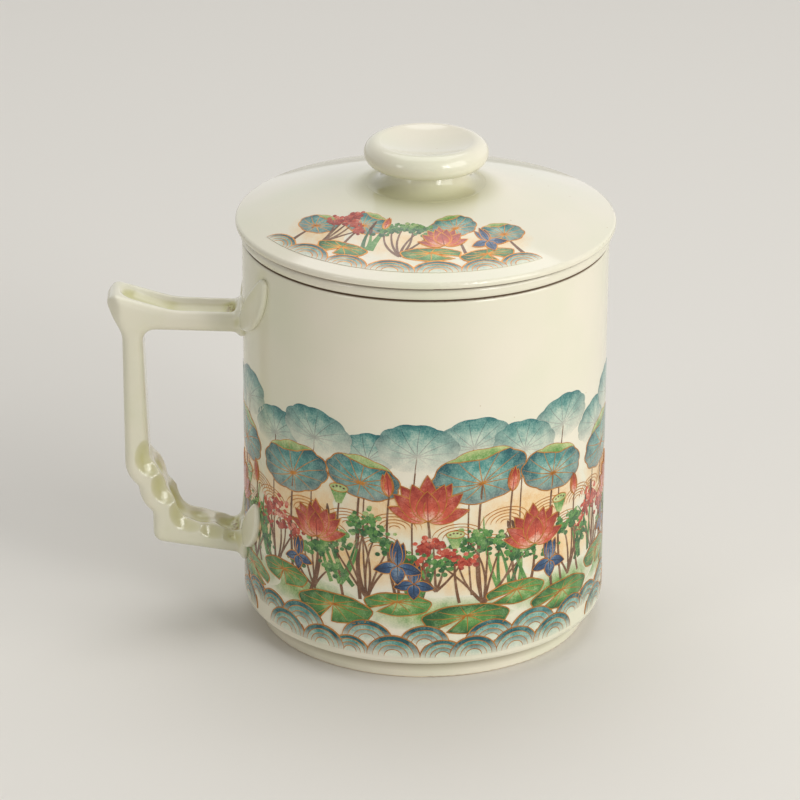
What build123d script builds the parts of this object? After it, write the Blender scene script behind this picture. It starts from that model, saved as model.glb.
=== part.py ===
from build123d import *
import math
import os

# Tea infuser mug: a porcelain cup with a branch-shaped handle, a strainer
# basket hung in its mouth by a flange, and a domed lid with a mushroom knob.
# Millimetres, +Z up. The origin is on the table, at the middle of the foot
# ring, and the handle points to -X.

# Cup
BODY_RADIUS = 41.0
RIM_HEIGHT = 91.8
WALL = 3.2
FLOOR_HEIGHT = 8.6
FLOOR_THICKNESS = 5.2
FLOOR_ROUND = 5.0
FOOT_INSET = 3.6
FOOT_WIDTH = 3.8
FOOT_HEIGHT = 4.7
FOOT_EDGE_ROUND = 0.5
BASE_ROUND = 1.6
RIM_ROUND = 0.9

# Strainer basket
FLANGE_OVERHANG = 0.4
FLANGE_THICKNESS = 2.9
FLANGE_ROUND = 1.2
FLANGE_ROOT_ROUND = 0.6
BASKET_CLEARANCE = 0.9
BASKET_DEPTH = 58.0
BASKET_TAPER = 1.8
BASKET_WALL = 2.6
BASKET_FLOOR = 3.0
BASKET_ROUND = 4.5
HOLE_DIAMETER = 2.8
HOLE_PITCH = 9.2
HOLE_RINGS = 2
HOLES_PER_RING = 6
SIDE_HOLES = 12
SIDE_HOLE_RISE = 11.0

# Lid
LID_OVERHANG = 1.4
LID_EDGE = 1.7
LID_EDGE_ROUND = 0.8
LID_DOME_RISE = 9.3
LID_CROWN = 0.6
LID_WALL = 3.4
LID_RING_CLEARANCE = 0.5
LID_RING_WIDTH = 3.2
LID_RING_DEPTH = 4.6
LID_RING_ROUND = 0.8

# Knob
KNOB_BASE_RADIUS = 13.4
KNOB_BASE_EDGE = 0.2
KNOB_NECK_RADIUS = 8.5
KNOB_NECK_RISE = 4.6
KNOB_HEAD_RADIUS = 13.85
KNOB_HEAD_HEIGHT = 5.4
KNOB_TOP_RADIUS = 10.4
KNOB_DISH_DEPTH = 1.5

# Handle, with every reach counted outwards from the cup's side
HANDLE_WIDTH = 11.0
HANDLE_EDGE_ROUND = 2.0
HANDLE_FLARE = 1.6
TOP_ARM_DROP = 16.8
TOP_ARM_THICKNESS = 5.1
TOP_ARM_RISE = 1.2
TOP_ARM_SAG_ROUND = 20.0
LIP_RISE = 4.5
LIP_OVERHANG = 3.7
LIP_SLANT = 2.2
LIP_ROUND = 1.7
LIP_PLAN_ROUND = 7.2
GRIP_REACH = 27.0
GRIP_THICKNESS = 4.6
GRIP_SPREAD = 1.0
GRIP_NECK_ROUND = 6.0
GAP_ROUND = 2.6
KNUCKLES_RISE = 24.3
KNUCKLES = 2
KNUCKLE_BULGE = 0.9
CREASE_ROUND = 0.8
HEEL_HEIGHT = 7.2
HEEL_INSET = 6.1
HEEL_ROUND = 2.4
ELBOW_INSET = 13.0
ELBOW_ROUND = 3.0
LOW_ARM_HEIGHT = 14.9
LOW_ARM_THICKNESS = 5.3
LOW_ARM_RISE = 4.3
CHANNEL_RADIUS = 4.5
CHANNEL_FLARE = 1.0
CHANNEL_DEPTH = 2.3
CHANNEL_START = 1.6
CHANNEL_LIP = 2.6
SCOOP_RADIUS = 6.0
SCOOP_DEPTH = 1.3
LOW_ARM_SCOOPS = 2

# Leaves that spread the handle's two roots over the cup's side
LEAF_THICKNESS = 1.2
LEAF_EDGE_ROUND = 0.5
LEAF_INNER_BULGE = 0.4
LEAF_OUTER_BULGE = 6.8
LEAF_TIP_ROUND = 1.4
LEAF_TILT = 45.0
UPPER_LEAF_LENGTH = 25.6
UPPER_LEAF_SPREAD = 12.3
UPPER_LEAF_RISE = 6.5
LOWER_LEAF_LENGTH = 20.6
LOWER_LEAF_SPREAD = 9.3
LOWER_LEAF_RISE = 6.9
ROOT_FLARE = 1.6

# Radii and heights that follow from the sizes above
INNER_RADIUS = BODY_RADIUS - WALL
FOOT_RADIUS = BODY_RADIUS - FOOT_INSET
FLANGE_RADIUS = BODY_RADIUS + FLANGE_OVERHANG
FLANGE_TOP = RIM_HEIGHT + FLANGE_THICKNESS
BASKET_RADIUS = INNER_RADIUS - BASKET_CLEARANCE
BASKET_BOTTOM = RIM_HEIGHT - BASKET_DEPTH
MOUTH_RADIUS = BASKET_RADIUS - BASKET_WALL
LID_RADIUS = BODY_RADIUS + LID_OVERHANG
LID_TOP = FLANGE_TOP + LID_DOME_RISE
TOP_ARM_RIM = RIM_HEIGHT - TOP_ARM_DROP
TOP_ARM_UNDER = TOP_ARM_RIM - TOP_ARM_THICKNESS
LOW_ARM_TOP = LOW_ARM_HEIGHT + LOW_ARM_THICKNESS
GRIP_INNER_REACH = GRIP_REACH - GRIP_THICKNESS
LIP_REACH = GRIP_REACH + LIP_OVERHANG
HEEL_REACH = GRIP_REACH - HEEL_INSET
ELBOW_REACH = GRIP_REACH - ELBOW_INSET
KNUCKLES_TOP = LOW_ARM_HEIGHT + KNUCKLES_RISE
OVER_ALL = 2 * (BODY_RADIUS + LIP_REACH + LID_TOP)

os.makedirs("parts", exist_ok=True)


def rounded(face, rounds):
    """The face with each listed corner rounded."""
    for corner, radius in rounds:
        nearest = face.vertices().sort_by_distance((*corner, 0))[0]
        face = fillet(nearest, radius)
    return face


def turned(outline, rounds):
    """An outline of (radius, height) edges, its corners rounded, turned about the cup's axis."""
    face = rounded(make_face(outline), rounds)
    return revolve(Plane.XZ * face, Axis.Z)


def mug_body():
    recess = FLOOR_HEIGHT - FLOOR_THICKNESS
    foot_inner = (FOOT_RADIUS - FOOT_WIDTH, 0)
    foot_outer = (FOOT_RADIUS, 0)
    base_edge = (BODY_RADIUS, FOOT_HEIGHT)
    rim_outer = (BODY_RADIUS, RIM_HEIGHT)
    rim_inner = (INNER_RADIUS, RIM_HEIGHT)
    floor_edge = (INNER_RADIUS, FLOOR_HEIGHT)
    outline = Polyline(
        (0, recess),
        (FOOT_RADIUS - FOOT_WIDTH, recess),
        foot_inner,
        foot_outer,
        (FOOT_RADIUS, FOOT_HEIGHT),
        base_edge,
        rim_outer,
        rim_inner,
        floor_edge,
        (0, FLOOR_HEIGHT),
        close=True,
    )
    rounds = [
        (foot_inner, FOOT_EDGE_ROUND),
        (foot_outer, FOOT_EDGE_ROUND),
        (base_edge, BASE_ROUND),
        (rim_outer, RIM_ROUND),
        (rim_inner, RIM_ROUND),
        (floor_edge, FLOOR_ROUND),
    ]
    return turned(outline, rounds)


def infuser():
    floor_top = BASKET_BOTTOM + BASKET_FLOOR
    foot_edge = (BASKET_RADIUS - BASKET_TAPER, BASKET_BOTTOM)
    root = (BASKET_RADIUS, RIM_HEIGHT)
    flange_lower = (FLANGE_RADIUS, RIM_HEIGHT)
    flange_upper = (FLANGE_RADIUS, FLANGE_TOP)
    mouth = (MOUTH_RADIUS, FLANGE_TOP)
    inner_edge = (MOUTH_RADIUS - BASKET_TAPER, floor_top)
    outline = Polyline(
        (0, BASKET_BOTTOM),
        foot_edge,
        root,
        flange_lower,
        flange_upper,
        mouth,
        inner_edge,
        (0, floor_top),
        close=True,
    )
    rounds = [
        (foot_edge, BASKET_ROUND),
        (root, FLANGE_ROOT_ROUND),
        (flange_lower, FLANGE_ROUND),
        (flange_upper, FLANGE_ROUND),
        (mouth, FLANGE_ROUND),
        (inner_edge, BASKET_ROUND),
    ]
    basket = turned(outline, rounds)
    hole = Cylinder(HOLE_DIAMETER / 2, 3 * BASKET_FLOOR)
    holes = [Pos(0, 0, BASKET_BOTTOM) * hole]
    for ring in range(1, HOLE_RINGS + 1):
        for place in PolarLocations(ring * HOLE_PITCH, HOLES_PER_RING * ring):
            holes.append(Pos(0, 0, BASKET_BOTTOM) * place * hole)
    side_hole = Rot(0, 90, 0) * Cylinder(HOLE_DIAMETER / 2, 4 * BASKET_WALL)
    for place in PolarLocations(BASKET_RADIUS - BASKET_TAPER, SIDE_HOLES):
        holes.append(Pos(0, 0, BASKET_BOTTOM + SIDE_HOLE_RISE) * place * side_hole)
    return basket - holes


def dome_height(radius):
    """Height of the lid's straight slope, before its crown, at a radius."""
    edge = FLANGE_TOP + LID_EDGE
    share = (LID_RADIUS - radius) / (LID_RADIUS - KNOB_BASE_RADIUS)
    return edge + share * (LID_TOP - edge)


def lid():
    ring_outer = MOUTH_RADIUS - LID_RING_CLEARANCE
    ring_inner = ring_outer - LID_RING_WIDTH
    ring_bottom = FLANGE_TOP - LID_RING_DEPTH
    roof_edge = dome_height(ring_inner) - LID_WALL
    roof_top = LID_TOP - LID_WALL
    lower_edge = (LID_RADIUS, FLANGE_TOP)
    upper_edge = (LID_RADIUS, FLANGE_TOP + LID_EDGE)
    slope_middle = (LID_RADIUS + KNOB_BASE_RADIUS) / 2
    under = Polyline(
        (KNOB_BASE_RADIUS, LID_TOP),
        (0, LID_TOP),
        (0, roof_top),
        (KNOB_BASE_RADIUS, roof_top),
        (ring_inner, roof_edge),
        (ring_inner, ring_bottom),
        (ring_outer, ring_bottom),
        (ring_outer, FLANGE_TOP),
        lower_edge,
        upper_edge,
    )
    dome = ThreePointArc(
        upper_edge,
        (slope_middle, dome_height(slope_middle) + LID_CROWN),
        (KNOB_BASE_RADIUS, LID_TOP),
    )
    rounds = [
        ((ring_inner, ring_bottom), LID_RING_ROUND),
        ((ring_outer, ring_bottom), LID_RING_ROUND),
        (lower_edge, LID_EDGE_ROUND),
        (upper_edge, LID_EDGE_ROUND),
    ]
    return turned(under + dome, rounds)


def lid_knob():
    neck_top = LID_TOP + KNOB_NECK_RISE
    head_top = neck_top + KNOB_HEAD_HEIGHT
    head_middle = neck_top + KNOB_HEAD_HEIGHT / 2
    foot = (KNOB_BASE_RADIUS, LID_TOP + KNOB_BASE_EDGE)
    neck = (KNOB_NECK_RADIUS, neck_top)
    under_head = (KNOB_TOP_RADIUS, neck_top)
    rim = (KNOB_TOP_RADIUS, head_top)
    base = Polyline((0, head_top - KNOB_DISH_DEPTH), (0, LID_TOP), (KNOB_BASE_RADIUS, LID_TOP), foot)
    flare = TangentArc(neck, foot, tangent=(0, -1))
    throat = Line(neck, under_head)
    head = ThreePointArc(under_head, (KNOB_HEAD_RADIUS, head_middle), rim)
    dish = TangentArc((0, head_top - KNOB_DISH_DEPTH), rim, tangent=(1, 0))
    rounds = [
        (neck, KNOB_BASE_EDGE),
        (rim, KNOB_DISH_DEPTH),
    ]
    return turned(base + flare + throat + head + dish, rounds)


def at(reach, height):
    """A point in the handle's own plane, a reach outwards from the cup's side."""
    return (-(BODY_RADIUS + reach), height)


def between(start, end, share):
    """The point a share of the way from start to end."""
    return (start[0] + share * (end[0] - start[0]), start[1] + share * (end[1] - start[1]))


def beside(start, end, share, distance):
    """A point a share of the way from start to end, moved a distance to the right of that way."""
    along = Vector(end[0] - start[0], end[1] - start[1]).normalized()
    foot = between(start, end, share)
    return (foot[0] + distance * along.Y, foot[1] - distance * along.X)


def spans(start, end, count):
    """Equal spans, as pairs of points, from start to end."""
    points = [between(start, end, step / count) for step in range(count + 1)]
    return list(zip(points, points[1:]))


def knuckled(start, end):
    """A row of arcs from start to end, each swelling to the right like a bamboo knuckle."""
    row = Curve()
    for first, last in spans(start, end, KNUCKLES):
        row += ThreePointArc(first, beside(first, last, 0.5, KNUCKLE_BULGE), last)
    return row


# Corners of the knuckled stretch, seen from the side
OUTER_TOP = at(GRIP_REACH, KNUCKLES_TOP)
HEEL = at(HEEL_REACH, LOW_ARM_HEIGHT + LOW_ARM_RISE)
OUTER_ELBOW = at(HEEL_REACH, LOW_ARM_HEIGHT + LOW_ARM_RISE + HEEL_HEIGHT)
INNER_TOP = at(GRIP_INNER_REACH - GRIP_SPREAD, KNUCKLES_TOP)
INNER_ELBOW = at(ELBOW_REACH, LOW_ARM_TOP + LOW_ARM_RISE)


def handle_side():
    """The handle's side view, one loop from the upper root round to the lower root and back."""
    upper_under = at(-WALL, TOP_ARM_UNDER)
    upper_rim = at(-WALL, TOP_ARM_RIM)
    sag = at(LIP_REACH / 2, TOP_ARM_RIM + TOP_ARM_RISE / 2)
    lip_top = at(LIP_REACH - LIP_SLANT, TOP_ARM_RIM + LIP_RISE)
    lip_end = at(LIP_REACH, TOP_ARM_RIM + LIP_RISE - LIP_SLANT)
    grip_neck = at(GRIP_REACH, TOP_ARM_UNDER)
    lower_under = at(-WALL, LOW_ARM_HEIGHT)
    lower_top = at(-WALL, LOW_ARM_TOP)
    gap_corner = at(GRIP_INNER_REACH, TOP_ARM_UNDER + TOP_ARM_RISE)
    loop = Curve() + Polyline(upper_under, upper_rim, sag, lip_top, lip_end, grip_neck, OUTER_TOP)
    loop += knuckled(OUTER_TOP, OUTER_ELBOW)
    loop += Polyline(OUTER_ELBOW, HEEL, lower_under, lower_top, INNER_ELBOW)
    loop += knuckled(INNER_ELBOW, INNER_TOP)
    loop += Polyline(INNER_TOP, gap_corner, upper_under)
    rounds = [
        (sag, TOP_ARM_SAG_ROUND),
        (lip_top, LIP_ROUND),
        (lip_end, LIP_ROUND),
        (grip_neck, GRIP_NECK_ROUND),
        (OUTER_TOP, CREASE_ROUND),
        (OUTER_ELBOW, CREASE_ROUND),
        (HEEL, HEEL_ROUND),
        (INNER_ELBOW, ELBOW_ROUND),
        (INNER_TOP, CREASE_ROUND),
        (gap_corner, GAP_ROUND),
    ]
    for start, end in ((OUTER_TOP, OUTER_ELBOW), (INNER_ELBOW, INNER_TOP)):
        rounds += [(last, CREASE_ROUND) for first, last in spans(start, end, KNUCKLES)[:-1]]
    return rounded(make_face(loop), rounds)


def handle_strap():
    """The side view at the handle's width, which flares outwards, with soft edges and a round lip."""
    strap = extrude(Plane.XZ * handle_side(), HANDLE_WIDTH, both=True)
    flare_angle = math.degrees(math.atan2(HANDLE_FLARE / 2, LIP_REACH))
    for side in (1, -1):
        waste = Pos(0, side * OVER_ALL / 2, 0) * Box(OVER_ALL, OVER_ALL, OVER_ALL)
        strap -= Pos(-BODY_RADIUS, side * HANDLE_WIDTH / 2, 0) * Rot(0, 0, -side * flare_angle) * waste
    near_side, *_, far_side = strap.faces().sort_by(Axis.Y)
    strap = fillet(near_side.edges() + far_side.edges(), HANDLE_EDGE_ROUND)
    lip_centre = -(BODY_RADIUS + LIP_REACH - LIP_PLAN_ROUND)
    beyond = Pos(lip_centre - LIP_PLAN_ROUND, 0, 0) * Box(2 * LIP_PLAN_ROUND, OVER_ALL, OVER_ALL)
    plan_end = Pos(lip_centre, 0, 0) * Cylinder(LIP_PLAN_ROUND, OVER_ALL)
    return strap - (beyond - plan_end)


def ball(point, radius):
    return Pos(point[0], 0, point[1]) * Sphere(radius)


def rod(start, end, start_radius, end_radius):
    """A round rod between two points of the handle's plane, thick or thin at either end."""
    first = Vector(start[0], 0, start[1])
    way = Vector(end[0], 0, end[1]) - first
    return loft([
        Plane(origin=first, z_dir=way) * Circle(start_radius),
        Plane(origin=first + way, z_dir=way) * Circle(end_radius),
    ])


def channel():
    """The hollow along the top arm: it follows the arm's sag and rises into the lip."""
    lift = CHANNEL_RADIUS - CHANNEL_DEPTH
    start = at(CHANNEL_START, TOP_ARM_RIM + lift)
    sag = at(LIP_REACH / 2, TOP_ARM_RIM + TOP_ARM_RISE / 2 + lift)
    lip_radius = CHANNEL_RADIUS + CHANNEL_FLARE
    lip_lift = lift + CHANNEL_FLARE
    end = at(LIP_REACH - CHANNEL_LIP - lip_radius, TOP_ARM_RIM + LIP_RISE - LIP_SLANT / 2 + lip_lift)
    return [
        rod(start, sag, CHANNEL_RADIUS, CHANNEL_RADIUS),
        ball(sag, CHANNEL_RADIUS),
        rod(sag, end, CHANNEL_RADIUS, lip_radius),
        ball(end, lip_radius),
    ]


def scoops():
    """Shallow thumbed hollows: on each knuckle, in the elbow and along the lower arm."""
    lift = SCOOP_RADIUS - SCOOP_DEPTH
    hollows = [ball((INNER_ELBOW[0] + lift / 2, INNER_ELBOW[1] + lift), SCOOP_RADIUS)]
    for first, last in spans(INNER_ELBOW, INNER_TOP, KNUCKLES):
        hollows.append(ball(beside(first, last, 0.5, KNUCKLE_BULGE + lift), SCOOP_RADIUS))
    for first, last in spans(at(0, LOW_ARM_TOP), INNER_ELBOW, LOW_ARM_SCOOPS):
        hollows.append(ball(beside(first, last, 0.5, lift), SCOOP_RADIUS))
    return hollows


def pressed_on(outline):
    """A flat outline pressed on the cup's side below the handle as a thin plate with soft edges."""
    prism = extrude(Plane.YZ * outline, -2 * BODY_RADIUS)
    plate = prism & Cylinder(BODY_RADIUS + LEAF_THICKNESS, OVER_ALL)
    plate -= Cylinder(BODY_RADIUS, OVER_ALL)
    return fillet(plate.faces().sort_by(Axis.X)[0].edges(), LEAF_EDGE_ROUND)


def leaf(length):
    """A pointed leaf along X, nearly straight on its upper side and full on its lower side."""
    start = (-length / 2, 0)
    end = (length / 2, 0)
    inner_side = ThreePointArc(start, (0, LEAF_INNER_BULGE), end)
    outer_side = ThreePointArc(end, (0, -LEAF_OUTER_BULGE), start)
    return rounded(make_face(inner_side + outer_side), [(start, LEAF_TIP_ROUND), (end, LEAF_TIP_ROUND)])


def root_plates(arm_under, arm_top, length, spread, rise):
    """A round plate at the foot of an arm, and the two leaves that grow from it."""
    middle = (arm_under + arm_top) / 2
    half_height = (arm_top - arm_under) / 2 + ROOT_FLARE
    plates = [pressed_on(Pos(0, middle) * Ellipse(HANDLE_WIDTH / 2 + ROOT_FLARE, half_height))]
    for side in (1, -1):
        place = Pos(side * spread, arm_top + rise) * Rot(0, 0, side * LEAF_TILT)
        plates.append(pressed_on(place * leaf(length)))
    return plates


def handle():
    branch = handle_strap() - Cylinder(BODY_RADIUS, OVER_ALL) - channel() - scoops()
    plates = root_plates(TOP_ARM_UNDER, TOP_ARM_RIM, UPPER_LEAF_LENGTH, UPPER_LEAF_SPREAD, UPPER_LEAF_RISE)
    plates += root_plates(LOW_ARM_HEIGHT, LOW_ARM_TOP, LOWER_LEAF_LENGTH, LOWER_LEAF_SPREAD, LOWER_LEAF_RISE)
    for plate in plates:
        branch += plate
    return branch


PIECES = {
    "mug_body": mug_body,
    "handle": handle,
    "infuser": infuser,
    "lid": lid,
    "lid_knob": lid_knob,
}

for name, make in PIECES.items():
    piece = make()
    piece.label = name
    export_step(piece, f"parts/{name}.step")
    print(name, round(piece.volume), "mm3")
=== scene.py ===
# %% [markdown]
# # A porcelain tea infuser mug
# The mug is a three-piece cup: a straight cup with a branch-shaped handle, a strainer basket that hangs
# in its mouth by a flange, and a low domed lid with a mushroom knob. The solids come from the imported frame.
# This lesson adds what a potter and a decorator add: the glaze, and an enamel frieze of a lotus pond.

import cmath
import math
import random

import bpy
import numpy as np
from mathutils import Matrix, Vector
from mathutils.bvhtree import BVHTree
from mathutils.geometry import delaunay_2d_cdt


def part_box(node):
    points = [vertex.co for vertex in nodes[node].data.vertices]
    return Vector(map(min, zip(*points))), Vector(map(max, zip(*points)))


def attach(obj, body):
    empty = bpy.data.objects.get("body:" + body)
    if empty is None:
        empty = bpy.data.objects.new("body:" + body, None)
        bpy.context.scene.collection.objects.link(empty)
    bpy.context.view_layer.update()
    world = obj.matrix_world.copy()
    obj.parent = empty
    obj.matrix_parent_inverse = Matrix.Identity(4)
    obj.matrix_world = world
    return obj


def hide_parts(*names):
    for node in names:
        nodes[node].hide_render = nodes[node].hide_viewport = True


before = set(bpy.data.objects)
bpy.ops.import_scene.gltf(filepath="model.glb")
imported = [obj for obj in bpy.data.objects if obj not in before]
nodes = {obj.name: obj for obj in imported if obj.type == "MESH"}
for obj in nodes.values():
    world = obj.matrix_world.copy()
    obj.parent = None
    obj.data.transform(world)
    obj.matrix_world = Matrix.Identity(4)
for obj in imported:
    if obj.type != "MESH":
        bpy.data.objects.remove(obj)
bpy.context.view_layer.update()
MM = 0.001

# %% [markdown]
# ## Camera
# The mug was photographed with a long lens from a little above. A long lens keeps the cup's sides nearly
# parallel, so the camera stands almost a metre away and looks down by about 23 degrees.

# %% Camera
CAMERA_PLACE = Vector((-29.2, -835.9, 405.0)) * MM
CAMERA_DOWN = math.radians(22.907)
CAMERA_RIGHT = math.radians(1.62)
CAMERA_ROLL = math.radians(0.266)
LENS_MM = 180.0
SENSOR_MM = 36.0

camera_data = bpy.data.cameras.new("camera")
camera_data.lens = LENS_MM
camera_data.sensor_width = SENSOR_MM
camera = bpy.data.objects.new("camera", camera_data)
heading = Matrix.Rotation(-CAMERA_RIGHT, 4, "Z")
tilt = Matrix.Rotation(math.pi / 2 - CAMERA_DOWN, 4, "X")
roll = Matrix.Rotation(CAMERA_ROLL, 4, "Z")
camera.matrix_world = Matrix.Translation(CAMERA_PLACE) @ heading @ tilt @ roll
bpy.context.scene.collection.objects.link(camera)
bpy.context.scene.camera = camera
print("camera at", [round(c, 3) for c in CAMERA_PLACE])

# %% [markdown]
# ## Helpers for materials
# Paint charts give colours as sRGB hex values, and the shader wants linear light, so one function turns
# them. Another adds a node, sets its properties and fills its live sockets, by name or, where several share
# a name, by number. A socket takes a number, a colour, a link, or a node, whose first live output it reads.

# %% Helpers for materials
def linear(hex_colour):
    """An sRGB hex colour as linear red, green, blue and alpha."""
    channels = [int(hex_colour[k:k + 2], 16) / 255 for k in (1, 3, 5)]
    return [c / 12.92 if c <= 0.04045 else ((c + 0.055) / 1.055) ** 2.4 for c in channels] + [1.0]


def add(tree, kind, sockets=None, **settings):
    """A new node with its properties set, and each socket that is given filled with a value or a link."""
    made = tree.nodes.new(kind)
    for name, setting in settings.items():
        setattr(made, name, setting)
    live = [socket for socket in made.inputs if socket.enabled]
    keyed = {socket.name: socket for socket in live} | dict(enumerate(live))
    for key, source in (sockets or {}).items():
        if isinstance(source, bpy.types.Node):
            source = next(socket for socket in source.outputs if socket.enabled)
        if isinstance(source, bpy.types.NodeSocket):
            tree.links.new(source, keyed[key])
        else:
            keyed[key].default_value = source
    return made


def per_metre(size_mm):
    """The scale of a pattern whose features are a size in millimetres."""
    return 1000.0 / size_mm


def new_material(name):
    """An empty node material, and its tree."""
    material = bpy.data.materials.new(name)
    material.use_nodes = True
    material.node_tree.nodes.clear()
    return material, material.node_tree


print("mid grey in linear light:", round(linear("#808080")[0], 3))

# %% [markdown]
# ## Stage and light
# The mug stands on a round, pale, matt board. A large floor would do as well, but its dim far end would show
# as a grey band in the gloss of the lid, so the board ends before that.

# %% Floor
FLOOR_COLOUR = "#e9e6e0"
FLOOR_ROUGHNESS = 0.7
FLOOR_RADIUS = 1.3
FLOOR_SIDES = 96

floor_mesh = bpy.data.meshes.new("floor")
floor_angles = [math.tau * k / FLOOR_SIDES for k in range(FLOOR_SIDES)]
floor_corners = [(FLOOR_RADIUS * math.cos(a), FLOOR_RADIUS * math.sin(a), 0) for a in floor_angles]
floor_mesh.from_pydata(floor_corners, [], [range(FLOOR_SIDES)])
floor = bpy.data.objects.new("floor", floor_mesh)
bpy.context.scene.collection.objects.link(floor)
floor_paint, tree = new_material("matt_studio_board")
sockets = {"Base Color": linear(FLOOR_COLOUR), "Roughness": FLOOR_ROUGHNESS}
board = add(tree, "ShaderNodeBsdfPrincipled", sockets)
add(tree, "ShaderNodeOutputMaterial", {"Surface": board})
floor_mesh.materials.append(floor_paint)
print("floor", 2 * FLOOR_RADIUS, "m across")

# %% [markdown]
# Glossy porcelain shows its lamps, so they are large and soft. The key stands to the right and in front,
# and a panel above gives the lid and the knob their sheen. Two small panes give sparks: a bright one in
# front for the knob and the hollows of the handle, and a weak one on the left. The white background is
# only for the eye and for reflections, so it adds no light to the glaze.

# %% World and lamps
AMBIENT = 0.32
AMBIENT_COLOUR = "#fdfbf7"
BACKGROUND = 1.0
BACKGROUND_COLOUR = "#ffffff"
# place, width and height in metres, then watts and colour
LAMPS = {
    "key": ((0.95, -0.62, 0.62), (0.9, 0.9), 7.8, "#fffdf9"),
    "fill": ((-0.95, -0.75, 0.40), (0.26, 0.40), 1.0, "#fdfaf4"),
    "top": ((0.00, 0.35, 1.05), (0.9, 0.9), 4.4, "#ffffff"),
    "pane": ((0.65, -0.92, 0.50), (0.24, 0.50), 2.4, "#ffffff"),
}
LOOK_AT = Vector((0, 0, 0.055))

world = bpy.data.worlds.new("studio")
bpy.context.scene.world = world
world.use_nodes = True
tree = world.node_tree
tree.nodes.clear()
ray = add(tree, "ShaderNodeLightPath")
seen = ray.outputs["Is Camera Ray"]
for kind in ("Is Glossy Ray", "Is Transmission Ray"):
    seen = add(tree, "ShaderNodeMath", {0: seen, 1: ray.outputs[kind]}, operation="MAXIMUM")
ambient = add(tree, "ShaderNodeBackground", {"Color": linear(AMBIENT_COLOUR), "Strength": AMBIENT})
bright = {"Color": linear(BACKGROUND_COLOUR), "Strength": BACKGROUND}
white = add(tree, "ShaderNodeBackground", bright)
both = add(tree, "ShaderNodeMixShader", {0: seen, 1: ambient, 2: white})
add(tree, "ShaderNodeOutputWorld", {"Surface": both})

for name, (place, (width, height), watts, colour) in LAMPS.items():
    lamp = bpy.data.lights.new(name, "AREA")
    lamp.shape = "RECTANGLE"
    lamp.size = width
    lamp.size_y = height
    lamp.energy = watts
    lamp.color = linear(colour)[:3]
    stand = bpy.data.objects.new(name, lamp)
    stand.location = place
    stand.rotation_euler = (LOOK_AT - Vector(place)).to_track_quat("-Z", "Y").to_euler()
    bpy.context.scene.collection.objects.link(stand)
bpy.context.scene.view_settings.view_transform = "Standard"
print("lamps:", ", ".join(LAMPS))

# %% [markdown]
# ## Cream glaze on porcelain
# The cup is slip-cast porcelain under a clear, faintly celadon feldspar glaze. To the eye that is a warm
# cream with slow green clouds, a few tiny iron specks, and a sharp gloss that ripples a little because
# the glaze flowed. Where it runs together in a hollow it is thicker and greener. The colour is a
# function of its own, because the enamels fade into exactly the same cream.

# %% Glaze colour
CREAM = "#eae4d1"
CREAM_GREEN = "#e3e2ca"
IRON_SPECK = "#b79b6c"
CLOUD_MM = 22.0
CLOUD_RANGE = (0.35, 0.7)
SPECK_SPACING_MM = 5.0
SPECK_MM = 0.22
SPECK_STRENGTH = 0.55
GLAZE_IOR = 1.52
GLAZE_ROUGHNESS = 0.09
RIPPLE_MM = 7.0
RIPPLE_HEIGHT = 0.012 * MM


def glaze_colour(tree, place):
    """Cream that drifts to a pale green, with a few iron specks."""
    cloud = add(tree, "ShaderNodeTexNoise", {"Vector": place, "Scale": per_metre(CLOUD_MM), "Detail": 2.0})
    clear, green = CLOUD_RANGE
    drift = add(tree, "ShaderNodeMapRange", {"Value": cloud, "From Min": clear, "From Max": green})
    tints = {"Factor": drift, "A": linear(CREAM), "B": linear(CREAM_GREEN)}
    cream = add(tree, "ShaderNodeMix", tints, data_type="RGBA")
    cells = add(tree, "ShaderNodeTexVoronoi", {"Vector": place, "Scale": per_metre(SPECK_SPACING_MM)})
    edge = SPECK_MM / SPECK_SPACING_MM
    inside = {"Value": cells, "From Min": edge, "From Max": edge / 2, "To Max": SPECK_STRENGTH}
    speck = add(tree, "ShaderNodeMapRange", inside)
    specked = {"Factor": speck, "A": cream, "B": linear(IRON_SPECK)}
    return add(tree, "ShaderNodeMix", specked, data_type="RGBA")


def glaze_ripple(tree, place):
    """The slow waves of a glaze that flowed."""
    waves = add(tree, "ShaderNodeTexNoise", {"Vector": place, "Scale": per_metre(RIPPLE_MM), "Detail": 1.0})
    return add(tree, "ShaderNodeBump", {"Height": waves, "Distance": RIPPLE_HEIGHT, "Strength": 1.0})


def glazed(tree, place, colour, roughness=GLAZE_ROUGHNESS):
    """End a material in the glossy shader that every glazed or enamelled surface shares."""
    sockets = {"Base Color": colour, "Roughness": roughness, "IOR": GLAZE_IOR}
    sockets["Normal"] = glaze_ripple(tree, place)
    gloss = add(tree, "ShaderNodeBsdfPrincipled", sockets)
    add(tree, "ShaderNodeOutputMaterial", {"Surface": gloss})


print("glaze: clouds of", CLOUD_MM, "mm, ripples of", RIPPLE_MM, "mm, a speck every", SPECK_SPACING_MM, "mm")

# %% [markdown]
# The foot ring stands on the kiln shelf, and the lid and the basket are fired in their places, so all the
# surfaces that touch are wiped clean of glaze. They stay a matt, sandy white, and their outer edge is painted
# dark brown as painted shade, the shadow in the gaps: hence the fine dark lines where the pieces meet. The
# grain of the bare clay is drawn some ten times coarser than life, or it would not show. The heights of the
# seats come from the frame, so the material finds them by itself, and no face of the solids has to be picked
# by hand.

# %% Bare porcelain at the foot and the seats
BISQUE = "#e7dcc6"
BISQUE_SHADE = "#d6c8ad"
BISQUE_ROUGHNESS = 0.8
GRAIN_MM = 0.4
# painted shade: the dark brown of the shadow in the gap where two pieces meet
GAP_SHADE = "#6f5a43"
GAP_SHADE_WIDTH_MM = 1.3
GAP_SHADE_FADE_MM = 0.4
BARE_HEIGHT_MM = 0.55
SEAT_HALF_MM = 0.42
cup_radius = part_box("mug_body")[1].x
rim_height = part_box("mug_body")[1].z
flange_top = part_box("infuser")[1].z


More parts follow.
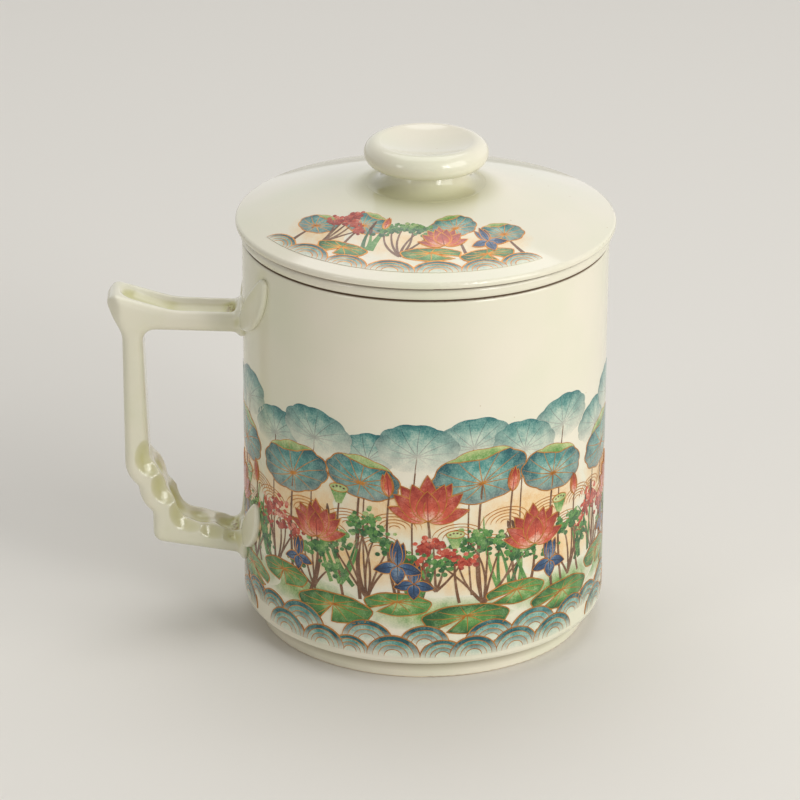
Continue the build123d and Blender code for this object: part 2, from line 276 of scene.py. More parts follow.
def distance_from_axis(tree, apart):
    """How far a place is from the cup's axis, from its separate coordinates."""
    flat = add(tree, "ShaderNodeCombineXYZ", {"X": apart.outputs["X"], "Y": apart.outputs["Y"]})
    return add(tree, "ShaderNodeVectorMath", {"Vector": flat}, operation="LENGTH")


def seat_line(tree, height, level):
    """1 at the height where two pieces touch, falling to 0 a little above and below."""
    away = add(tree, "ShaderNodeMath", {0: height, 1: level}, operation="SUBTRACT")
    gap = add(tree, "ShaderNodeMath", {0: away}, operation="ABSOLUTE")
    half = SEAT_HALF_MM * MM
    return add(tree, "ShaderNodeMapRange", {"Value": gap, "From Min": half, "From Max": 0.5 * half})


def wiped(tree, place, colour, levels):
    """The glaze's colour and roughness: bare at the foot and the seats, with painted shade at the seats'
    edge.
    """
    apart = add(tree, "ShaderNodeSeparateXYZ", {"Vector": place})
    height = apart.outputs["Z"]
    grain = add(tree, "ShaderNodeTexNoise", {"Vector": place, "Scale": per_metre(GRAIN_MM)})
    grains = {"Factor": grain, "A": linear(BISQUE), "B": linear(BISQUE_SHADE)}
    sandy = add(tree, "ShaderNodeMix", grains, data_type="RGBA")
    reach = distance_from_axis(tree, apart)
    # painted shade on the outer edge of each seat, where the gap between the pieces lies in shadow
    edge = cup_radius - GAP_SHADE_WIDTH_MM * MM
    brown = edge + GAP_SHADE_FADE_MM * MM
    gap_shade = add(tree, "ShaderNodeMapRange", {"Value": reach, "From Min": edge, "From Max": brown})
    gap_shading = {"Factor": gap_shade, "A": sandy, "B": linear(GAP_SHADE)}
    seat_clay_and_shade = add(tree, "ShaderNodeMix", gap_shading, data_type="RGBA")
    bare = BARE_HEIGHT_MM * MM
    matt = add(tree, "ShaderNodeMapRange", {"Value": height, "From Min": bare, "From Max": 0.5 * bare})
    mixed = add(tree, "ShaderNodeMix", {"Factor": matt, "A": colour, "B": sandy}, data_type="RGBA")
    for level in levels:
        seat = seat_line(tree, height, level)
        mixed = add(tree, "ShaderNodeMix", {"Factor": seat, "A": mixed, "B": seat_clay_and_shade}, data_type="RGBA")
        matt = add(tree, "ShaderNodeMath", {0: matt, 1: seat}, operation="MAXIMUM")
    rough = {"Value": matt, "To Min": GLAZE_ROUGHNESS, "To Max": BISQUE_ROUGHNESS}
    return mixed, add(tree, "ShaderNodeMapRange", rough)


print("seats at", [round(level / MM, 2) for level in (rim_height, flange_top)], "mm")

# %% [markdown]
# Under the cup's wall, in the groove above the foot ring, and round the knob's neck the glaze collects while
# it melts, and it cools darker and greener there. The groove also lies in the shadow of the cup's overhang,
# so its dark brown is painted shade as well as pooled glaze. Both hollows are turned, so a distance from the
# cup's axis and a height are enough to say where they are.

# %% Glaze on the turned pieces
# painted shade under the cup's overhang, mixed with pooled glaze, in the groove above the foot
GROOVE_POOL_AND_SHADE = "#7f6f48"
# where the pool and the painted shade begin, are full, are still full and end
GROOVE_HEIGHTS_MM = (1.6, 4.7, 5.2, 5.6)
GROOVE_RADII_MM = (34.0, 34.6, 38.3, 39.2)
NECK_POOL = "#aeac74"
NECK_RADIUS_MM = 12.4
NECK_POOL_MM = 7.0
NECK_POOL_SHARE = 0.5
lid_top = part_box("lid")[1].z


def foot_groove(tree, place):
    """1 in the groove above the foot ring, 0 elsewhere."""
    apart = add(tree, "ShaderNodeSeparateXYZ", {"Vector": place})
    height = apart.outputs["Z"]
    reach = distance_from_axis(tree, apart)
    low, deep, roof, above = (level * MM for level in GROOVE_HEIGHTS_MM)
    inner, ring, wall, outer = (radius * MM for radius in GROOVE_RADII_MM)
    limits = ((height, low, deep), (height, above, roof), (reach, inner, ring), (reach, outer, wall))
    share = 1.0
    for measure, zero, one in limits:
        limit = add(tree, "ShaderNodeMapRange", {"Value": measure, "From Min": zero, "From Max": one})
        share = add(tree, "ShaderNodeMath", {0: share, 1: limit}, operation="MULTIPLY")
    return share


def cup_glaze():
    """The glaze of the cup and the basket, with pooled glaze and painted shade in the groove above the foot.
    """
    material, tree = new_material("cream_glaze_on_porcelain")
    place = add(tree, "ShaderNodeTexCoord").outputs["Object"]
    # the groove above the foot is darkened: pooled glaze and painted shade under the overhang
    pools = {"Factor": foot_groove(tree, place), "A": glaze_colour(tree, place), "B": linear(GROOVE_POOL_AND_SHADE)}
    pooled = add(tree, "ShaderNodeMix", pools, data_type="RGBA")
    colour, roughness = wiped(tree, place, pooled, (rim_height, flange_top))
    glazed(tree, place, colour, roughness)
    return material


def lid_glaze():
    """The glaze of the lid and its knob, pooled round the knob's neck."""
    material, tree = new_material("cream_glaze_pooled_at_the_neck")
    place = add(tree, "ShaderNodeTexCoord").outputs["Object"]
    apart = add(tree, "ShaderNodeSeparateXYZ", {"Vector": place})
    reach = distance_from_axis(tree, apart)
    out = add(tree, "ShaderNodeMath", {0: reach, 1: NECK_RADIUS_MM * MM}, operation="SUBTRACT")
    up = add(tree, "ShaderNodeMath", {0: apart.outputs["Z"], 1: lid_top}, operation="SUBTRACT")
    away = add(tree, "ShaderNodeCombineXYZ", {"X": out, "Y": up})
    gap = add(tree, "ShaderNodeVectorMath", {"Vector": away}, operation="LENGTH")
    fade = {"Value": gap, "From Min": NECK_POOL_MM * MM, "From Max": 0.0, "To Max": NECK_POOL_SHARE}
    near = add(tree, "ShaderNodeMapRange", fade, interpolation_type="SMOOTHERSTEP")
    pools = {"Factor": near, "A": glaze_colour(tree, place), "B": linear(NECK_POOL)}
    pooled = add(tree, "ShaderNodeMix", pools, data_type="RGBA")
    colour, roughness = wiped(tree, place, pooled, (flange_top,))
    glazed(tree, place, colour, roughness)
    return material


cup_finish = cup_glaze()
lid_finish = lid_glaze()
finishes = {"mug_body": cup_finish, "infuser": cup_finish, "lid": lid_finish, "lid_knob": lid_finish}
for name, finish in finishes.items():
    nodes[name].data.materials.clear()
    nodes[name].data.materials.append(finish)
print("glazed:", cup_finish.name, "and", lid_finish.name)

# %% [markdown]
# The knob is luted onto the lid with slip, and a wet sponge draws that slip out into a feather edge, so the
# neck runs into the dome without a line. The skirt is a thin ring turned from a cubic curve, which leaves
# the knob level and meets the dome along its own slope.

# %% Slip at the knob's neck
SKIRT_START_MM = 12.4
SKIRT_END_MM = 18.0
SKIRT_LIFT_MM = 0.21
SKIRT_TUCK_MM = 0.7
SKIRT_DIVE = 1.4
SKIRT_SUNK_MM = 0.3
SKIRT_STEPS = 12
SKIRT_SIDES = 160
SKIRT_CREASE = math.radians(30)
ABOVE = Vector((0, 0, 0.2))
DOWN = Vector((0, 0, -1))
lid_skin = BVHTree.FromObject(nodes["lid"], bpy.context.evaluated_depsgraph_get())


def skirt_profile():
    """The feather edge as pairs of radius and height in millimetres, from the knob out to the dome."""
    hit, normal = lid_skin.ray_cast(Vector((0, -SKIRT_END_MM * MM, 0)) + ABOVE, DOWN)[:2]
    slope = normal.y / normal.z
    length = SKIRT_END_MM - SKIRT_START_MM
    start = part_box("lid_knob")[0].z / MM + SKIRT_LIFT_MM
    end = hit.z / MM
    profile = [(SKIRT_START_MM - SKIRT_TUCK_MM, start)]
    for k in range(SKIRT_STEPS + 1):
        t = k / SKIRT_STEPS
        fall = t * t * (3 - 2 * t)
        height = start + (end - start) * fall + slope * length * (t**3 - t**2)
        profile.append((SKIRT_START_MM + length * t, height))
    profile.append((SKIRT_END_MM + SKIRT_TUCK_MM, end + SKIRT_DIVE * slope * SKIRT_TUCK_MM))
    return profile


def turned_ring(name, outline):
    """A closed outline of radius and height in millimetres, turned about the cup's axis."""
    count = len(outline)
    points = []
    faces = []
    for k in range(SKIRT_SIDES):
        angle = math.tau * k / SKIRT_SIDES
        points += [(r * MM * math.cos(angle), r * MM * math.sin(angle), z * MM) for r, z in outline]
        here = k * count
        there = (k + 1) % SKIRT_SIDES * count
        for j in range(count):
            after = (j + 1) % count
            faces.append((here + j, there + j, there + after, here + after))
    mesh = bpy.data.meshes.new(name)
    mesh.from_pydata(points, [], faces)
    mesh.shade_smooth()
    mesh.set_sharp_from_angle(angle=SKIRT_CREASE)
    made = bpy.data.objects.new(name, mesh)
    bpy.context.scene.collection.objects.link(made)
    return made


feather = skirt_profile()
hidden = [(r, z - SKIRT_SUNK_MM) for r, z in reversed(feather)]
skirt = turned_ring("neck_slip", feather + hidden)
skirt.data.materials.append(lid_finish)
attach(skirt, "lid")
print("neck slip:", len(skirt.data.polygons), "faces, from", feather[0], "to", feather[-1])

# %% [markdown]
# ## Branch handle
# The handle is pressed in a mould, trimmed and luted on with slip, and the glaze then softens every edge.
# A bevel on each edge would be tedious, so the solid is copied, remeshed in fine voxels, swollen, remeshed
# and shrunk again. The swelling closes every inner corner, as a fillet of slip does, and a smoothing then
# softens the outer edges. The inner end is first pushed a little into the cup's wall, so that the handle
# grows out of the cup without a gap.

# %% Handle mesh
VOXEL = 0.3 * MM
SLIP_FILLET = 0.9 * MM
SMOOTHING = 5
SMOOTHING_SHARE = 0.5
SEAT = 0.5 * MM
SEAT_REACH = 0.06 * MM


def seated_copy(node):
    """A copy of the handle's mesh whose face on the cup is pushed into the wall."""
    mesh = nodes[node].data.copy()
    for vertex in mesh.vertices:
        reach = math.hypot(vertex.co.x, vertex.co.y)
        if reach < cup_radius + SEAT_REACH:
            share = (reach - SEAT) / reach
            vertex.co.x *= share
            vertex.co.y *= share
    return mesh


def soften(rough, kind, **settings):
    """One more step in the stack of modifiers that softens a mesh."""
    step = rough.modifiers.new(kind.lower(), kind)
    for name, setting in settings.items():
        setattr(step, name, setting)


def remeshed(mesh, name):
    """The mesh rebuilt in voxels, its inner corners filled and its edges smoothed, as a new object."""
    rough = bpy.data.objects.new(name + "_rough", mesh)
    bpy.context.scene.collection.objects.link(rough)
    for swell in (SLIP_FILLET, -SLIP_FILLET):
        soften(rough, "REMESH", mode="VOXEL", voxel_size=VOXEL)
        soften(rough, "SMOOTH", factor=SMOOTHING_SHARE, iterations=SMOOTHING)
        soften(rough, "DISPLACE", strength=swell, mid_level=0.0)
    soften(rough, "REMESH", mode="VOXEL", voxel_size=VOXEL)
    soften(rough, "SMOOTH", factor=SMOOTHING_SHARE, iterations=SMOOTHING)
    ready = rough.evaluated_get(bpy.context.evaluated_depsgraph_get())
    made = bpy.data.objects.new(name, bpy.data.meshes.new_from_object(ready))
    bpy.data.objects.remove(rough)
    bpy.context.scene.collection.objects.link(made)
    made.data.shade_smooth()
    return made


handle = remeshed(seated_copy("handle"), "branch_handle")
print("handle:", len(handle.data.polygons), "faces")

# %% [markdown]
# Both inner edges of the grip and of the lower arm carry a row of facets, as if a thumb had pressed them
# into the clay, with soft ridges between. Each facet is a place along the edge, in millimetres, and the
# slope of the edge there in degrees. A ball that is a little flattened is set against it, and every point
# inside the ball moves out to its surface: a boolean would do the same, but it leaves sharp ridges and a
# rough mesh. Close to the cup the press fades out, so that the leaves at the handle's root stay whole.

# %% Thumbed facets
KNUCKLE_SLOPE = 63
ELBOW_SLOPE = 40
ARM_SLOPE = 17
FACETS = (
    (-61.9, 38.2, KNUCKLE_SLOPE),
    (-58.4, 31.2, KNUCKLE_SLOPE),
    (-54.6, 24.6, ELBOW_SLOPE),
    (-49.0, 22.7, ARM_SLOPE),
    (-44.6, 21.3, ARM_SLOPE),
)
FACET_EDGE_MM = 5.9
FACET_FACING = (0.30, 0.87, 0.39)
FACET_RADII_MM = (9.0, 8.0, 9.0)
FACET_LIFT_MM = 7.4
FACET_SMOOTHING = 6
LEAF_CLEAR_MM = 1.6


def vectors_of(mesh, name):
    """The places or the normals of a mesh's points, as rows of three numbers."""
    values = np.empty(3 * len(mesh.vertices))
    mesh.vertices.foreach_get(name, values)
    return values.reshape(-1, 3)


def averager(mesh):
    """A function that turns a value on each point into the mean of its neighbours' values."""
    count = len(mesh.vertices)
    ends = np.empty(2 * len(mesh.edges), int)
    mesh.edges.foreach_get("vertices", ends)
    first, last = ends.reshape(-1, 2).T
    links = np.bincount(first, minlength=count) + np.bincount(last, minlength=count)

    def mean_of_neighbours(values):
        columns = values.reshape(count, -1).T
        sums = [np.bincount(first, c[last], count) + np.bincount(last, c[first], count) for c in columns]
        return (np.stack(sums, 1) / links[:, None]).reshape(values.shape)

    return mean_of_neighbours


def carve(mesh):
    """Press the thumbed facets into both inner edges, and soften the ridges that stay between them."""
    places = vectors_of(mesh, "co") / MM
    depth = np.zeros(len(places))
    clear = np.hypot(places[:, 0], places[:, 1]) - cup_radius / MM - LEAF_CLEAR_MM
    share = np.clip(clear / LEAF_CLEAR_MM, 0, 1)
    for x, z, slope in FACETS:
        for side in (-1, 1):
            facing = Vector((FACET_FACING[0], side * FACET_FACING[1], FACET_FACING[2])).normalized()
            down = Vector((math.cos(math.radians(slope)), 0, -math.sin(math.radians(slope))))
            across = facing.cross(down).normalized()
            axes = np.array([facing, across.cross(facing), across])
            centre = np.array([x, side * FACET_EDGE_MM, z]) + axes[0] * FACET_LIFT_MM
            local = (places - centre) @ axes.T / FACET_RADII_MM
            away = np.linalg.norm(local, axis=1)
            inside = (away < 1) & (share > 0)
            pressed = centre + (local[inside] / away[inside, None] * FACET_RADII_MM) @ axes
            places[inside] += share[inside, None] * (pressed - places[inside])
            depth[inside] = np.maximum(depth[inside], share[inside] * (1 - away[inside]))
    mean_of_neighbours = averager(mesh)
    soft = (depth > 0).astype(float)
    for _ in range(FACET_SMOOTHING):
        soft = np.maximum(soft, mean_of_neighbours(soft))
        places += soft[:, None] * SMOOTHING_SHARE * (mean_of_neighbours(places) - places)
    mesh.vertices.foreach_set("co", (places * MM).ravel())
    mesh.update()
    return np.sqrt(depth / depth.max())


thumbed = carve(handle.data)
print("facets:", np.count_nonzero(thumbed), "points pressed in")

# %% [markdown]
# Glaze runs off the rims and into the hollows before it sets. A point lies in a hollow when the mean of its
# neighbours is above the surface, so a number on each point can say how hollow the surface is there, spread
# a little, as the melt spreads. The facets count as hollows too.

# %% Hollows
HOLLOW_SPREAD = 16
HOLLOW_RADIUS = 5.0 * MM
FLAT = 0.5
CURVE_SHARE = 0.25
FACET_SHARE = 0.26


def mark_hollows(mesh, thumbed):
    """Give each point a number from 0.5, flat or a rim, to 1, a deep hollow."""
    places = vectors_of(mesh, "co")
    mean_of_neighbours = averager(mesh)
    drawn = mean_of_neighbours(places) - places
    # the mean of four neighbours a voxel away is off by a quarter of the curvature times a voxel squared
    hollow = (drawn * vectors_of(mesh, "normal")).sum(1) * 4 / VOXEL**2
    for _ in range(HOLLOW_SPREAD):
        hollow = mean_of_neighbours(hollow)
    scaled = np.minimum(FLAT + CURVE_SHARE * hollow * HOLLOW_RADIUS, 1)
    scaled = np.maximum(scaled, FLAT + FACET_SHARE * thumbed)
    mesh.attributes.new("hollow", "FLOAT", "POINT").data.foreach_set("value", scaled.astype(np.float32))
    return scaled


hollows = mark_hollows(handle.data, thumbed)
print("hollow from", hollows.min().round(2), "to", hollows.max().round(2))

# %% [markdown]
# The handle wears the same glaze as the cup. It pools pale celadon green in the channel, the scoops, the
# facets and the creases, and it thins to cream on the rims. In the creases of the leaves at the root it is
# so thick that iron stays in it as brown pits.

# %% Handle glaze
DEEP_POOL = "#c8c586"
POOL_RANGE = (0.5, 0.8)
POOL_SHARE = 0.85
FLOW_MM = 4.0
FLOW_SHIFT = 0.06
PIT = "#86683c"
PIT_RANGE = (0.8, 0.95)
FLECK_MM = 0.9
FLECK_RANGE = (0.45, 0.6)
ROOT_REACH = 49 * MM


def handle_glaze():
    """Cream that pools green in the hollows, with brown pits in the creases at the root."""
    material, tree = new_material("celadon_pooling_glaze")
    place = add(tree, "ShaderNodeTexCoord").outputs["Object"]
    hollow = add(tree, "ShaderNodeAttribute", attribute_name="hollow").outputs["Fac"]
    flow = add(tree, "ShaderNodeTexNoise", {"Vector": place, "Scale": per_metre(FLOW_MM), "Detail": 2.0})
    shift = add(tree, "ShaderNodeMapRange", {"Value": flow, "To Min": -FLOW_SHIFT, "To Max": FLOW_SHIFT})
    depth = add(tree, "ShaderNodeMath", {0: hollow, 1: shift}, operation="ADD")
    shallow, full = POOL_RANGE
    fill = {"Value": depth, "From Min": shallow, "From Max": full, "To Max": POOL_SHARE}
    pool = add(tree, "ShaderNodeMapRange", fill)
    pools = {"Factor": pool, "A": glaze_colour(tree, place), "B": linear(DEEP_POOL)}
    colour = add(tree, "ShaderNodeMix", pools, data_type="RGBA")
    flecks = add(tree, "ShaderNodeTexNoise", {"Vector": place, "Scale": per_metre(FLECK_MM), "Detail": 2.0})
    reach = add(tree, "ShaderNodeSeparateXYZ", {"Vector": place}).outputs["X"]
    limits = ((depth, *PIT_RANGE), (flecks, *FLECK_RANGE), (reach, -ROOT_REACH, -cup_radius))
    pits = 1.0
    for measure, zero, one in limits:
        limit = add(tree, "ShaderNodeMapRange", {"Value": measure, "From Min": zero, "From Max": one})
        pits = add(tree, "ShaderNodeMath", {0: pits, 1: limit}, operation="MULTIPLY")
    pitted = add(tree, "ShaderNodeMix", {"Factor": pits, "A": colour, "B": linear(PIT)}, data_type="RGBA")
    glazed(tree, place, pitted)
    return material


handle.data.materials.clear()
handle.data.materials.append(handle_glaze())
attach(handle, "mug")
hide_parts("handle")
print("handle glazed with", handle.data.materials[0].name)

# %% [markdown]
# ## Enamel and gold
# Over the glaze, the decorator lays coloured enamels and lines of bright gold, each fired on as a film
# less than a tenth of a millimetre thick. Here every wash is a thin closed patch laid on the cup, so its
# edge stays crisp from any distance. A spot of the drawing is a complex number: its real part runs round
# the cup from the middle of the front, its imaginary part runs up, and both are in millimetres.

# %% Spots on the cup and the lid
DRAWING_STEP = 1.2
CUP_MM = cup_radius / MM
SPRAY_MM = 30.0


def on_cup(spot, lift):
    """The place of a spot on the cup's wall."""
    angle = spot.real / CUP_MM
    reach = CUP_MM + lift
    return Vector((reach * math.sin(angle), -reach * math.cos(angle), spot.imag)) * MM


def on_lid(spot, lift):
    """The place of a spot on the lid, where up in the drawing is towards the knob."""
    angle = spot.real / SPRAY_MM
    reach = SPRAY_MM - spot.imag
    over = Vector((reach * math.sin(angle), -reach * math.cos(angle), 0)) * MM
    hit, normal = lid_skin.ray_cast(over + ABOVE, DOWN)[:2]
    return hit + normal * lift * MM


def resampled(path, closed):
    """The path with no step longer than the drawing's step."""
    ends = path[1:] + path[:1] if closed else path[1:]
    spots = []
    for start, end in zip(path, ends):
        pieces = max(1, math.ceil(abs(end - start) / DRAWING_STEP))
        spots += [start + (end - start) * k / pieces for k in range(pieces)]
    return spots if closed else spots + path[-1:]


print("the cup is", round(math.tau * CUP_MM, 1), "mm round")

# %% [markdown]
# All that is painted in one enamel is gathered into one mesh, a coat, so that each surface has one piece
# for each enamel. Films that cross lie in layers, each a hundredth of a millimetre above the last, so that
# no two surfaces share a place. Two numbers on each point say how strong the colour is and how far it
# covers the glaze, so that a wash can fade out.

# %% Coats of enamel
FIRST_LIFT = 0.012
LAYER_LIFT = 0.010
SUNK = -0.06
CLOSE = 1e-5
INSIDE_ONLY = 1


def value(rule, spot):
    """A number as it is, or a rule worked out at a spot."""
    return rule(spot) if callable(rule) else rule


class Coat:
    """All that is painted on one surface in one enamel, gathered into one mesh."""

    def __init__(self, name, place):
        self.name = name
        self.place = place
        self.points = []
        self.faces = []
        self.tones = []
        self.covers = []

    def point(self, spot, lift, tone, cover):
        """One more point, and its number."""
        self.points.append(self.place(spot, lift))
        self.tones.append(value(tone, spot))
        self.covers.append(value(cover, spot))
        return len(self.points) - 1

    def patch(self, outline, layer, tone, cover=1.0):
        """A filled outline, closed by a wall and an underside in the glaze."""
        rim = resampled(outline, True)
        spots = list(rim)
        column = min(spot.real for spot in rim)
        right = max(spot.real for spot in rim)
        low = min(spot.imag for spot in rim)
        high = max(spot.imag for spot in rim)
        while column < right:
            row = low
            while row < high:
                spots.append(complex(column, row))
                row += DRAWING_STEP
            column += DRAWING_STEP
        flat = [Vector((spot.real, spot.imag)) for spot in spots]
        loop = list(range(len(rim)))
        corners, _, triangles = delaunay_2d_cdt(flat, [], [loop], INSIDE_ONLY, CLOSE)[:3]
        used = sorted({corner for face in triangles for corner in face})
        lift = FIRST_LIFT + LAYER_LIFT * layer
        top = {}
        under = {}
        for corner in used:
            spot = complex(*corners[corner])
            top[corner] = self.point(spot, lift, tone, cover)
            under[corner] = self.point(spot, SUNK, tone, cover)
        edges = {}
        for face in triangles:
            self.faces.append([top[corner] for corner in face])
            self.faces.append([under[corner] for corner in reversed(face)])
            for start, end in zip(face, list(face[1:]) + [face[0]]):
                edges[start, end] = True
        for start, end in edges:
            if (end, start) not in edges:
                self.faces.append([top[start], under[start], under[end], top[end]])

    def line(self, path, layer, width, tone=1.0, cover=1.0, closed=False):
        """A stroke along a path, as a thin closed strip."""
        spots = resampled(path, closed)
        last = len(spots) - 1
        lift = FIRST_LIFT + LAYER_LIFT * layer
        rings = []
        for k, spot in enumerate(spots):
            before = spots[k - 1] if closed or k > 0 else spot
            after = spots[(k + 1) % len(spots)] if closed or k < last else spot
            way = after - before
            half = 1j * way / abs(way) * value(width, k / last) / 2
            corners = ((half, SUNK), (half, lift), (-half, lift), (-half, SUNK))
            rings.append([self.point(spot + shift, high, tone, cover) for shift, high in corners])
        followers = rings[1:] + rings[:1] if closed else rings[1:]
        for ring, follower in zip(rings, followers):
            for k in range(4):
                self.faces.append([ring[k], ring[(k + 1) % 4], follower[(k + 1) % 4], follower[k]])
        if not closed:
            self.faces.append(rings[0][::-1])
            self.faces.append(rings[-1])

    def piece(self, material, body):
        """The mesh of all that was painted, riding on a body of the frame."""
        mesh = bpy.data.meshes.new(self.name)
        mesh.from_pydata(self.points, [], self.faces)
        for name, values in (("tone", self.tones), ("cover", self.covers)):
            mesh.attributes.new(name, "FLOAT", "POINT").data.foreach_set("value", values)
        mesh.materials.append(material)
        made = bpy.data.objects.new(self.name, mesh)
        bpy.context.scene.collection.objects.link(made)
        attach(made, body)
        return made


print("the lowest film stands", FIRST_LIFT, "mm above the glaze, and each layer adds", LAYER_LIFT, "mm")

# %% [markdown]
# Each enamel is a lead glass coloured by a metal: copper for the teal and the green, iron for the red and
# the browns, cobalt for the navy. A thin coat is pale and a thick coat is deep, so the tone on each point
# picks a colour between the two, broken by brush streaks and by the grain of the print, which is drawn
# coarser than life so that it shows. The bright gold is a metal film, a little rough because it is fired
# onto glass.

# %% Enamel materials
STREAK_MM = 2.6
STREAK_STRENGTH = 0.16
PRINT_GRAIN_MM = 0.35
PRINT_GRAIN_STRENGTH = 0.09
NOISE_RANGE = (0.3, 0.7)
PATCHINESS = 0.6
FADE_OUT = 8.0
ENAMEL_ROUGHNESS = 0.16
# a thin coat, a middling one and a thick one
ENAMELS = {
    "mist": ("#f4e4c2", "#ecca94", "#d9a25e"),
    "teal": ("#b3d2bf", "#4a9089", "#17525a"),
    "green": ("#c3cd8c", "#5f9448", "#27582f"),
    "red": ("#f2d0b4", "#cc5940", "#8e281f"),
    "navy": ("#7f9cb0", "#33557c", "#16283f"),
    "brown": ("#b58f62", "#7d563a", "#4a3024"),
}
GOLD = "#c98d47"
GOLD_DARK = "#a8692c"
GOLD_METALLIC = 0.7
GOLD_ROUGHNESS = 0.34
WEAR_MM = 1.5
WEAR_RANGE = (0.35, 0.65)


def enamel(name, pale, middle, deep):
    """A coloured glass film: pale where thin, deep where thick, and clear where it fades out."""
    material, tree = new_material(name + "_enamel")
    place = add(tree, "ShaderNodeTexCoord").outputs["Object"]
    strength = add(tree, "ShaderNodeAttribute", attribute_name="tone").outputs["Fac"]
    cover = add(tree, "ShaderNodeAttribute", attribute_name="cover").outputs["Fac"]
    broken = 0.0
    patterns = ((STREAK_MM, 3.0, STREAK_STRENGTH), (PRINT_GRAIN_MM, 1.0, PRINT_GRAIN_STRENGTH))
    low, high = NOISE_RANGE
    for size, detail, swing in patterns:
        grain = {"Vector": place, "Scale": per_metre(size), "Detail": detail}
        noise = add(tree, "ShaderNodeTexNoise", grain)
        spread = {"Value": noise, "From Min": low, "From Max": high, "To Min": -swing, "To Max": swing}
        level = add(tree, "ShaderNodeMapRange", spread)
        broken = add(tree, "ShaderNodeMath", {0: broken, 1: level}, operation="ADD")
    strength = add(tree, "ShaderNodeMath", {0: strength, 1: broken}, operation="ADD")
    tints = add(tree, "ShaderNodeValToRGB", {"Fac": strength})
    tints.color_ramp.elements[0].color = linear(pale)
    tints.color_ramp.elements[1].color = linear(deep)
    tints.color_ramp.elements.new(0.5).color = linear(middle)
    patchy = add(tree, "ShaderNodeMath", {0: broken, 1: PATCHINESS, 2: cover}, operation="MULTIPLY_ADD")
    held = add(tree, "ShaderNodeMath", {0: cover, 1: FADE_OUT}, operation="MULTIPLY", use_clamp=True)
    share = add(tree, "ShaderNodeMath", {0: patchy, 1: held}, operation="MULTIPLY", use_clamp=True)
    film = {"Factor": share, "A": glaze_colour(tree, place), "B": tints}
    colour = add(tree, "ShaderNodeMix", film, data_type="RGBA")
    glazed(tree, place, colour, ENAMEL_ROUGHNESS)
    return material


def bright_gold():
    """A gold film worn a little darker in places."""
    material, tree = new_material("fired_bright_gold")
    place = add(tree, "ShaderNodeTexCoord").outputs["Object"]
    wear = add(tree, "ShaderNodeTexNoise", {"Vector": place, "Scale": per_metre(WEAR_MM), "Detail": 2.0})
    fresh, dark = WEAR_RANGE
    worn = add(tree, "ShaderNodeMapRange", {"Value": wear, "From Min": fresh, "From Max": dark})
    golds = {"Factor": worn, "A": linear(GOLD), "B": linear(GOLD_DARK)}
    colour = add(tree, "ShaderNodeMix", golds, data_type="RGBA")
    sockets = {"Base Color": colour, "Metallic": GOLD_METALLIC, "Roughness": GOLD_ROUGHNESS}
    film = add(tree, "ShaderNodeBsdfPrincipled", sockets)
    add(tree, "ShaderNodeOutputMaterial", {"Surface": film})
    return material


enamels = {name: enamel(name, *colours) for name, colours in ENAMELS.items()}
enamels["gold"] = bright_gold()
print("enamels:", ", ".join(enamels))

# %% [markdown]
# ## Motifs of a lotus pond
# The pond is drawn with a few motifs: leaves that stand above the water, pads that float on it, blossoms,
# irises, round-leaved water plants, reeds and rolling water. Each motif is a function that paints one
# example at a spot, so the same brush habits return all round the cup, with small changes by chance.
# All of them are made of a few curves: a bowed stroke, an oval, a petal, and two ways to press the brush.

# %% Curves for the motifs
picks = random.Random(11)
FINE = 0.2
GOLD_LINE = 0.26
BOW_STEPS = 10
PETAL_STEPS = 8
POINT_WIDTH = 0.05


def bow(start, end, bend):
    """A curve between two spots, bowed to the left by a share of its length."""
    way = end - start
    shares = [k / BOW_STEPS for k in range(BOW_STEPS + 1)]
    return [start + way * t + 1j * way * bend * 4 * t * (1 - t) for t in shares]


def oval(centre, width, height, steps=20):
    """An oval outline round a spot."""
    angles = [math.tau * k / steps for k in range(steps)]
    return [centre + complex(width / 2 * math.cos(a), height / 2 * math.sin(a)) for a in angles]


def petal(base, lean, length, width):
    """A pointed petal that leans from upright by an angle in degrees, to the right if positive."""
    right = []
    for k in range(1, PETAL_STEPS):
        t = k / PETAL_STEPS
        right.append(complex(width / 2 * math.sin(math.pi * t**0.8) ** 0.85, length * t))
    left = [complex(-spot.real, spot.imag) for spot in reversed(right)]
    turn = cmath.rect(1, -math.radians(lean))
    return [base + spot * turn for spot in [0] + right + [1j * length] + left]


def tapered(width):
    """A stroke that is full in its middle and thin at its ends."""
    return lambda t: width * min(1.0, 0.3 + 5 * min(t, 1 - t))


def pointed(width):
    """A stroke that starts full and ends in a point."""
    return lambda t: width * (1 - t) ** 0.6 + POINT_WIDTH


print("a petal has", len(petal(0j, 0, 1.0, 0.4)), "points, an oval", len(oval(0j, 1.0, 1.0)))

# %% [markdown]
# A lotus leaf stands on a stalk and is seen aslant, so it is an oval with a scalloped margin, and its veins
# run to its heart. Near leaves turn over one edge and are lined in gold, and far ones fade into the mist.
# A pad lies on the water, and has a notch.

# %% Leaves and pads
RIM_STEPS = 60
VEIN_EVERY = 5
FOLD = range(8, 23)
NEAR_FADE = 0.25
FAR_FADE = 1.0
STALK_WIDTH = 0.7
STALK_TONE = 0.6
SEED_SHIFTS = ((-0.28, 0.0), (-0.1, 0.07), (0.1, 0.07), (0.28, 0.0))
PAD_STEPS = 36
PAD_GAP = 0.16


def stalk(coats, foot, top, bend, layer, width=STALK_WIDTH):
    """A brown stalk that thins towards its top."""
    coats["brown"].line(bow(foot, top, bend), layer, lambda t: width * (1 - 0.45 * t), STALK_TONE)


